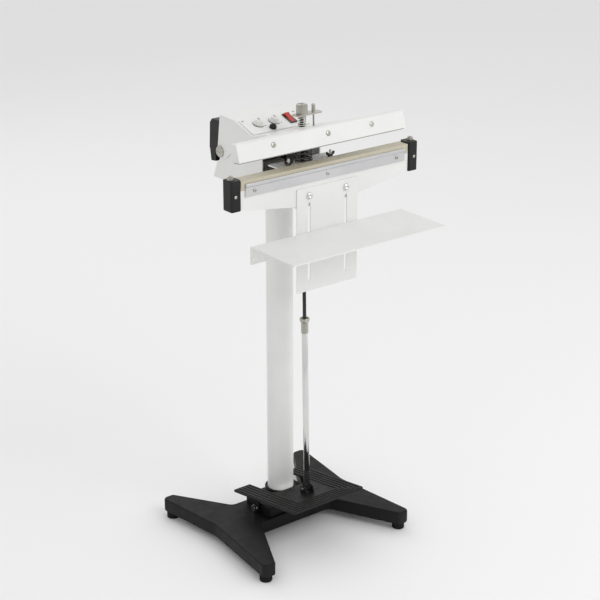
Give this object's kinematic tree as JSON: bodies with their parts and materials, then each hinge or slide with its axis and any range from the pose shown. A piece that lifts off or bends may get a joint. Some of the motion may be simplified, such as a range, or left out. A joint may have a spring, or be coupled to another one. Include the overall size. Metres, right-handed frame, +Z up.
{
  "type": "foot-operated impulse heat sealer",
  "caption": "Pedestal impulse sealer: a foot pedal pulls a hinged arm down, so that its jaw presses a plastic bag onto a heated strip above a small work table.",
  "frame": {"origin": "on the floor, under the middle of the bounding box", "axes": "+Z up, -Y towards the operator, +X to the operator's right"},
  "size_m": [0.4806, 0.4818, 0.9838],
  "materials": {
    "white_paint": "smooth white powder coat",
    "black_casting": "satin black paint over cast iron",
    "black_paint": "satin black paint",
    "foot_rubber": "matt dark grey rubber",
    "black_rubber": "matt black rubber",
    "chrome": "bright polished chrome",
    "zinc_steel": "zinc-plated steel",
    "dark_steel": "plain dark steel",
    "aluminium": "brushed aluminium extrusion",
    "tan_cloth": "tan non-stick coated glass cloth",
    "silicone": "grey silicone rubber",
    "black_plastic": "satin black moulded plastic",
    "white_plastic": "glossy white plastic with a black scale",
    "red_plastic": "glossy red plastic",
    "insulating_board": "brown laminated insulating board",
    "element_steel": "flat resistance ribbon",
    "circuit_board": "green circuit board"
  },
  "bodies": {
    "stand": {"base_casting": "black_casting", "foot_front_left": "foot_rubber", "foot_front_right": "foot_rubber", "foot_rear_left": "foot_rubber", "foot_rear_right": "foot_rubber", "column_tube": "white_paint", "head_frame": "white_paint", "jaw_support": "white_paint", "cord_gland": "black_rubber", "pivot_shaft": "zinc_steel", "transformer": "dark_steel", "lower_jaw_beam": "white_paint", "heater_bar": "insulating_board", "heating_element": "element_steel", "heat_cover": "tan_cloth", "clamp_strip": "aluminium", "clamp_screw_left": "zinc_steel", "clamp_screw_middle": "zinc_steel", "clamp_screw_right": "zinc_steel", "end_block_left": "black_plastic", "end_block_right": "black_plastic", "terminal_screw_left": "zinc_steel", "terminal_screw_right": "zinc_steel", "bracket_plate": "white_paint", "bracket_bolt_left": "chrome", "bracket_bolt_right": "chrome", "pedal_pivot_bolt_left": "chrome", "pedal_pivot_bolt_right": "chrome", "return_spring": "dark_steel"},
    "arm": {"upper_arm": "white_paint", "jaw_bar": "white_paint", "pressure_rubber": "silicone", "jaw_screw_left": "zinc_steel", "jaw_screw_middle": "zinc_steel", "jaw_screw_right": "zinc_steel", "rear_cover": "black_plastic", "micro_switch": "black_plastic", "control_panel": "white_paint", "timer_board": "circuit_board", "rocker_housing": "black_plastic"},
    "pedal_lever": {"pedal": "black_casting", "clevis_pin": "zinc_steel"},
    "pull_rod": {"rod_end": "black_paint", "rod_tube": "chrome", "threaded_rod": "dark_steel", "striker_plate": "zinc_steel", "pressure_spring": "zinc_steel"},
    "knob": {"pressure_knob": "zinc_steel"},
    "striker": {"striker_screw": "zinc_steel"},
    "adjuster": {"adjuster_nut": "zinc_steel"},
    "timer_dial_left": {"dial_left": "white_plastic"},
    "timer_dial_right": {"dial_right": "white_plastic"},
    "rocker": {"rocker_button": "red_plastic"},
    "fuse": {"fuse_cap": "black_plastic"},
    "plunger": {"switch_plunger": "red_plastic"},
    "wing_left": {"wing_nut_left": "dark_steel"},
    "wing_right": {"wing_nut_right": "dark_steel"},
    "table": {"work_table": "white_paint", "table_screw_left": "zinc_steel", "table_screw_right": "zinc_steel"}
  },
  "joints": [
    {"name": "arm_hinge", "type": "hinge", "parent": "stand", "child": "arm", "pos_m": [0, 0.16185, 0.858], "axis": [1, 0, 0], "range_deg": [0, 6.9], "stiffness_Nm_per_rad": 60, "springref_deg": -14.32, "deforming": ["return_spring"]},
    {"name": "pedal_hinge", "type": "hinge", "parent": "stand", "child": "pedal_lever", "pos_m": [0, 0.05885, 0.055], "axis": [1, 0, 0], "range_deg": [0, 13.2]},
    {"name": "rod_pivot", "type": "hinge", "parent": "pedal_lever", "child": "pull_rod", "pos_m": [0, -0.03294, 0.12001], "axis": [1, 0, 0], "range_deg": [-13.5, 0]},
    {"name": "table_slide", "type": "slide", "parent": "stand", "child": "table", "axis": [0, 0, 1], "range_m": [-0.08, 0.06]},
    {"name": "knob_turn", "type": "hinge", "parent": "pull_rod", "child": "knob", "pos_m": [0, -0.01444, 0.97], "axis": [0, 0.0218, 0.9998], "continuous": true},
    {"name": "striker_turn", "type": "hinge", "parent": "pull_rod", "child": "striker", "pos_m": [0.03, -0.01444, 0.97], "axis": [0, 0.0218, 0.9998], "continuous": true},
    {"name": "adjuster_turn", "type": "hinge", "parent": "pull_rod", "child": "adjuster", "pos_m": [0, -0.0246, 0.503], "axis": [0, 0.0218, 0.9998], "continuous": true},
    {"name": "dial_left_turn", "type": "hinge", "parent": "arm", "child": "timer_dial_left", "pos_m": [-0.038, 0.08159, 0.92753], "axis": [0, -0.3193, 0.9476], "range_deg": [-135, 135]},
    {"name": "dial_right_turn", "type": "hinge", "parent": "arm", "child": "timer_dial_right", "pos_m": [0.0025, 0.08159, 0.92753], "axis": [0, -0.3193, 0.9476], "range_deg": [-135, 135]},
    {"name": "fuse_turn", "type": "hinge", "parent": "arm", "child": "fuse", "pos_m": [-0.017, 0.06142, 0.91851], "axis": [0, -0.3193, 0.9476], "range_deg": [0, 45]},
    {"name": "rocker_tilt", "type": "hinge", "parent": "arm", "child": "rocker", "pos_m": [0.041, 0.07941, 0.92774], "axis": [1, 0, 0], "range_deg": [-20, 0]},
    {"name": "plunger_slide", "type": "slide", "parent": "arm", "child": "plunger", "axis": [0, 0.1201, 0.9928], "range_m": [-0.0012, 0], "stiffness_N_per_m": 200, "springref_m": 0.002},
    {"name": "wing_left_turn", "type": "hinge", "parent": "stand", "child": "wing_left", "pos_m": [-0.054, -0.04015, 0.8677], "axis": [0, 0, 1], "continuous": true},
    {"name": "wing_right_turn", "type": "hinge", "parent": "stand", "child": "wing_right", "pos_m": [0.054, -0.04015, 0.8677], "axis": [0, 0, 1], "continuous": true}
  ],
  "couplings": [
    {"joint": "pedal_hinge", "follows": "arm_hinge", "ratio": 1.8986},
    {"joint": "rod_pivot", "follows": "arm_hinge", "ratio": -1.9389}
  ]
}
